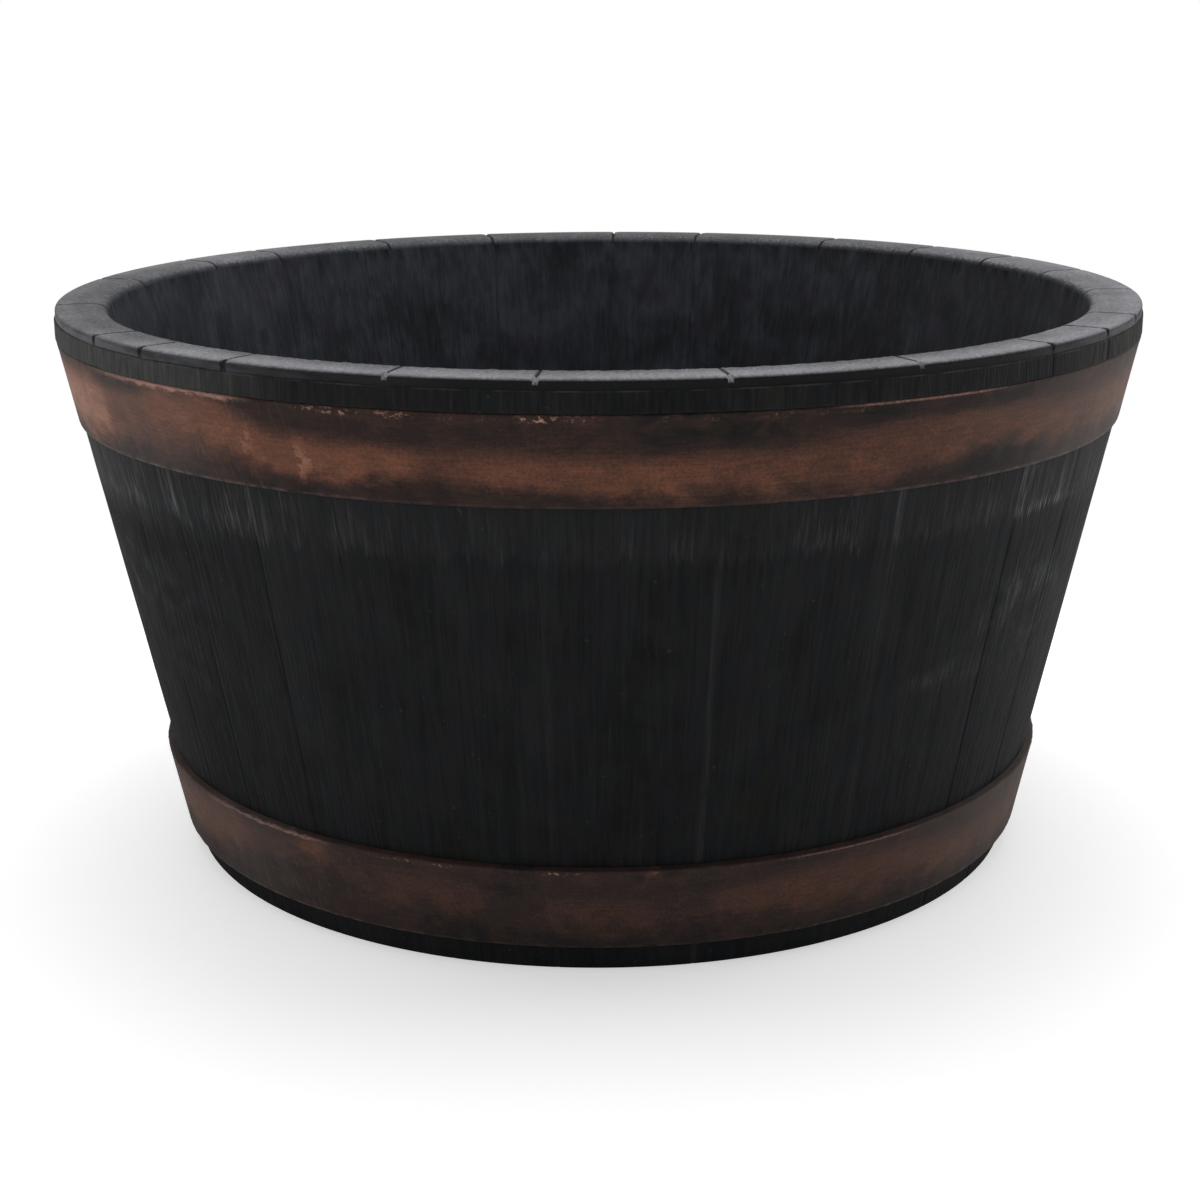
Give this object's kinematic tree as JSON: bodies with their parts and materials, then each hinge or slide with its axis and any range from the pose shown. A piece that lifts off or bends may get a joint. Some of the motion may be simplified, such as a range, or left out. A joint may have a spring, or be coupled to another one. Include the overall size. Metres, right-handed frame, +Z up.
{
  "type": "barrel planter",
  "caption": "Round plastic half-barrel planter with moulded staves, a flat grooved rim, copper-painted strap hoops and push-in drain plugs.",
  "frame": {"origin": "middle of the standing ring, on the ground", "axes": "+Z up along the tub's axis, the pictured side towards -Y, +X to the right in the picture"},
  "size_m": [0.49, 0.49, 0.2515],
  "materials": {
    "shell_plastic": "near-black charcoal plastic with moulded wood grain and dry whitish streaks",
    "liner_plastic": "charcoal plastic, sandy mid-grey on the rim's top",
    "upper_hoop_paint": "black plastic sprayed with copper paint, patchy towards the edges",
    "lower_hoop_paint": "black plastic sprayed thinly with copper paint",
    "plug_rubber": "matt black"
  },
  "bodies": {
    "tub": {"outer_shell": "shell_plastic", "inner_liner": "liner_plastic", "upper_hoop": "upper_hoop_paint", "lower_hoop": "lower_hoop_paint"},
    "plug_front": {"drain_plug_front": "plug_rubber"},
    "plug_right": {"drain_plug_right": "plug_rubber"},
    "plug_back": {"drain_plug_back": "plug_rubber"},
    "plug_left": {"drain_plug_left": "plug_rubber"}
  },
  "joints": [
    {"name": "plug_front_lift", "type": "slide", "parent": "tub", "child": "plug_front", "axis": [0, 0, 1], "range_m": [0, 0.04]},
    {"name": "plug_right_lift", "type": "slide", "parent": "tub", "child": "plug_right", "axis": [0, 0, 1], "range_m": [0, 0.04]},
    {"name": "plug_back_lift", "type": "slide", "parent": "tub", "child": "plug_back", "axis": [0, 0, 1], "range_m": [0, 0.04]},
    {"name": "plug_left_lift", "type": "slide", "parent": "tub", "child": "plug_left", "axis": [0, 0, 1], "range_m": [0, 0.04]}
  ]
}
